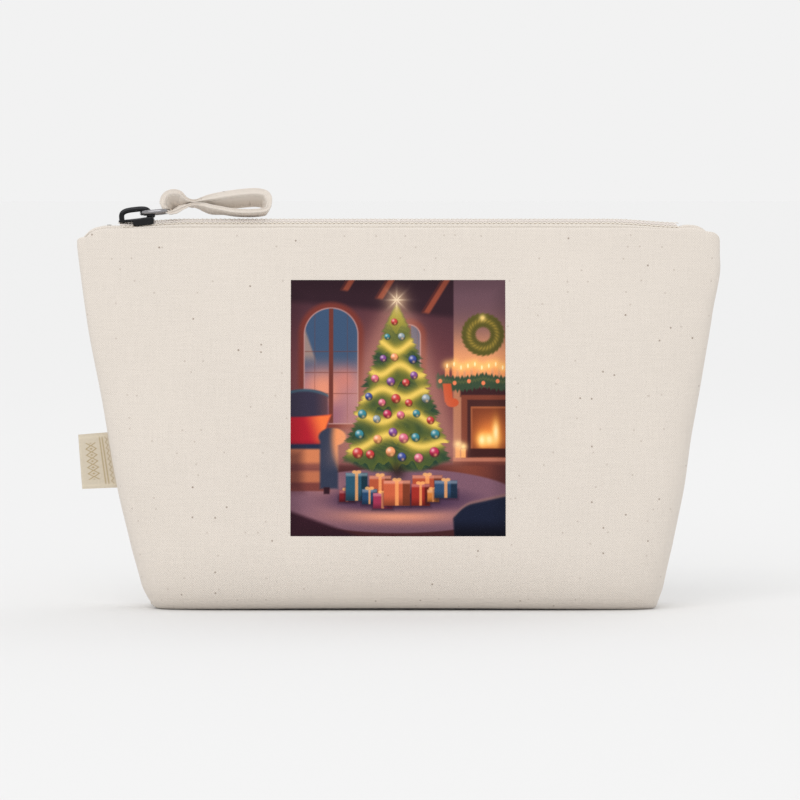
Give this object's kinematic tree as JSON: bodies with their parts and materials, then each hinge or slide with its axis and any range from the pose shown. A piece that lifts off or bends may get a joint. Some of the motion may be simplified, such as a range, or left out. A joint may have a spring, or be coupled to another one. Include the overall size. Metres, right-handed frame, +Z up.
{
  "type": "zip pouch",
  "caption": "Wedge-shaped canvas zip pouch with a boxed base, a picture print on the front, a metal slider with a strap pull loop and a folded side label.",
  "frame": {"origin": "centre of the base, on the surface the pouch stands on", "axes": "+X along the zip, to the right seen from the printed front, +Y from the front to the back, +Z up"},
  "size_m": [0.27, 0.06, 0.1758],
  "materials": {
    "canvas": "matte",
    "seam_binding": "matte",
    "zip_tape": "matte",
    "zip_coil": "satin",
    "gunmetal": "gloss",
    "label_ribbon": "matte",
    "print_film": "satin"
  },
  "bodies": {
    "root": {"back_coil_left_end": "zip_coil", "back_coil_right_end": "zip_coil", "back_left_panel": "canvas", "back_right_panel": "canvas", "back_tape_left_end": "zip_tape", "back_tape_right_end": "zip_tape", "base_back": "canvas", "base_front": "canvas", "base_seam_binding": "seam_binding", "bottom_stop": "gunmetal", "front_coil_left_end": "zip_coil", "front_coil_right_end": "zip_coil", "front_left_panel": "canvas", "front_right_panel": "canvas", "front_tape_left_end": "zip_tape", "front_tape_right_end": "zip_tape", "left_corner_binding": "seam_binding", "left_seam_binding": "seam_binding", "left_zip_end_tab": "zip_tape", "right_corner_binding": "seam_binding", "right_seam_binding": "seam_binding", "right_zip_end_tab": "zip_tape", "top_stop_back": "gunmetal", "top_stop_front": "gunmetal"},
    "front_mouth": {"front_panel": "canvas", "front_tape": "zip_tape", "front_coil": "zip_coil", "print_transfer": "print_film"},
    "back_mouth": {"back_panel": "canvas", "back_tape": "zip_tape", "back_coil": "zip_coil"},
    "slider": {"slider_body": "gunmetal"},
    "pull_ring": {"pull_ring": "gunmetal"},
    "pull_loop": {"pull_loop": "canvas"},
    "side_label": {"side_label": "label_ribbon"}
  },
  "joints": [
    {"name": "zip_slide", "type": "slide", "parent": "root", "child": "slider", "axis": [1, 0, 0], "range_m": [0, 0.22]},
    {"name": "pull_ring_swing", "type": "hinge", "parent": "slider", "child": "pull_ring", "pos_m": [-0.107, 0, 0.166], "axis": [0, -1, 0], "range_deg": [0, 90]},
    {"name": "pull_loop_swing", "type": "hinge", "parent": "pull_ring", "child": "pull_loop", "pos_m": [-0.0966, 0, 0.167], "axis": [0, -1, 0], "range_deg": [0, 35]},
    {"name": "front_mouth_open", "type": "hinge", "parent": "root", "child": "front_mouth", "pos_m": [0, -0.0296, 0.005], "axis": [1, 0, 0], "range_deg": [0, 12]},
    {"name": "back_mouth_open", "type": "hinge", "parent": "root", "child": "back_mouth", "pos_m": [0, 0.0296, 0.005], "axis": [-1, 0, 0], "range_deg": [0, 12]},
    {"name": "label_flex", "type": "hinge", "parent": "root", "child": "side_label", "pos_m": [-0.1187, 0, 0.05], "axis": [-0.1944, 0, 0.9809], "range_deg": [-65, 65], "stiffness_Nm_per_rad": 0.0002}
  ]
}
